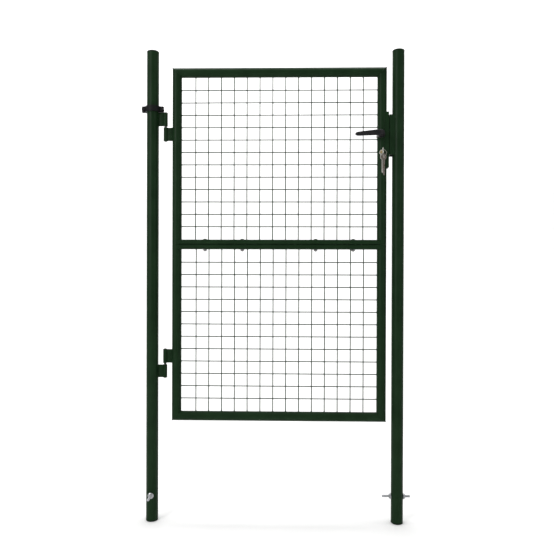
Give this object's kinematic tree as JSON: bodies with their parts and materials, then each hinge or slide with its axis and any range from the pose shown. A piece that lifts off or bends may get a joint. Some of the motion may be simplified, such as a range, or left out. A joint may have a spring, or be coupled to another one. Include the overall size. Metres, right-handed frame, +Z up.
{
  "type": "garden gate",
  "caption": "Single garden gate of green steel tube and welded wire mesh, hung between two round posts, with lever lock, keys, keep, hinges, clamp collar and ground anchors.",
  "frame": {"origin": "on the ground, midway between the two post axes", "axes": "+Z up, +X from the hinge post to the lock post, +Y away from the side that the leaf opens to"},
  "size_m": [1.086, 0.112, 1.9],
  "materials": {
    "green_paint": "satin moss-green polyester powder coat with slight orange peel",
    "green_plastic": "moulded, slightly weathered",
    "black_handle": "satin black, worn where it is held",
    "black_steel": "satin black paint on steel",
    "zinc": "bright zinc plate",
    "dark_steel": "plain steel, slightly tarnished",
    "nickel": "nickel plate with fine scratches",
    "dark_key": "steel key with a browned tip",
    "brass": "turned brass"
  },
  "bodies": {
    "posts": {"left_post": "green_paint", "right_post": "green_paint", "left_post_top_cap": "green_plastic", "right_post_top_cap": "green_plastic", "left_post_foot_cap": "green_plastic", "right_post_foot_cap": "green_plastic", "upper_hinge_post_bracket": "green_paint", "lower_hinge_post_bracket": "green_paint", "upper_hinge_pin": "dark_steel", "lower_hinge_pin": "dark_steel", "collar_front_half": "black_steel", "collar_back_half": "black_steel", "collar_bolt_left": "black_steel", "collar_bolt_right": "black_steel", "collar_nut_left": "black_steel", "collar_nut_right": "black_steel", "left_anchor_rod": "zinc", "right_anchor_rod": "zinc", "left_anchor_nut_front": "zinc", "left_anchor_nut_back": "zinc", "right_anchor_nut_inner": "zinc", "right_anchor_nut_outer": "zinc", "keep": "green_paint"},
    "leaf": {"upper_top_tube": "green_paint", "upper_left_stile": "green_paint", "upper_right_stile": "green_paint", "lower_bottom_tube": "green_paint", "lower_left_stile": "green_paint", "lower_right_stile": "green_paint", "upper_mid_rail": "green_paint", "lower_mid_rail": "green_paint", "upper_mesh": "green_paint", "lower_mesh": "green_paint", "upper_hinge_leaf_bracket": "green_paint", "lower_hinge_leaf_bracket": "green_paint", "rail_bolt_1": "green_paint", "rail_bolt_2": "green_paint", "rail_bolt_3": "green_paint", "rail_bolt_4": "green_paint", "rail_nut_1": "dark_steel", "rail_nut_2": "dark_steel", "rail_nut_3": "dark_steel", "rail_nut_4": "dark_steel", "lock_channel": "green_paint", "lock_forend": "dark_steel", "lock_case": "dark_steel", "cylinder_body": "nickel", "front_rose": "black_handle", "back_rose": "black_handle"},
    "handle": {"spindle": "zinc", "lock_follower": "dark_steel", "front_lever": "black_handle", "back_spindle_cap": "black_handle"},
    "latch": {"latch_bolt": "zinc"},
    "deadbolt": {"deadbolt": "zinc"},
    "plug": {"cylinder_plug": "brass", "key_in_lock": "nickel"},
    "bunch": {"key_ring": "nickel", "spare_key_short": "nickel", "spare_key_long": "dark_key"}
  },
  "joints": [
    {"name": "leaf_swing", "type": "hinge", "parent": "posts", "child": "leaf", "pos_m": [-0.443, 0, 0], "axis": [0, 0, -1], "range_deg": [0, 120]},
    {"name": "handle_turn", "type": "hinge", "parent": "leaf", "child": "handle", "pos_m": [0.425, 0, 1.557], "axis": [0, -1, 0], "range_deg": [0, 40], "stiffness_Nm_per_rad": 1.2, "springref_deg": -20.05},
    {"name": "latch_slide", "type": "slide", "parent": "leaf", "child": "latch", "axis": [-1, 0, 0], "range_m": [0, 0.011]},
    {"name": "key_turn", "type": "hinge", "parent": "leaf", "child": "plug", "pos_m": [0.425, 0, 1.485], "axis": [0, -1, 0], "range_deg": [0, 360]},
    {"name": "deadbolt_slide", "type": "slide", "parent": "leaf", "child": "deadbolt", "axis": [1, 0, 0], "range_m": [0, 0.014]},
    {"name": "bunch_swing", "type": "hinge", "parent": "leaf", "child": "bunch", "pos_m": [0.425, 0, 1.485], "axis": [0, 1, 0], "range_deg": [-45, 45]}
  ],
  "couplings": [
    {"joint": "latch_slide", "follows": "handle_turn", "m_per_rad": 0.01575},
    {"joint": "key_turn", "follows": "deadbolt_slide", "rad_per_m": 448.79}
  ]
}
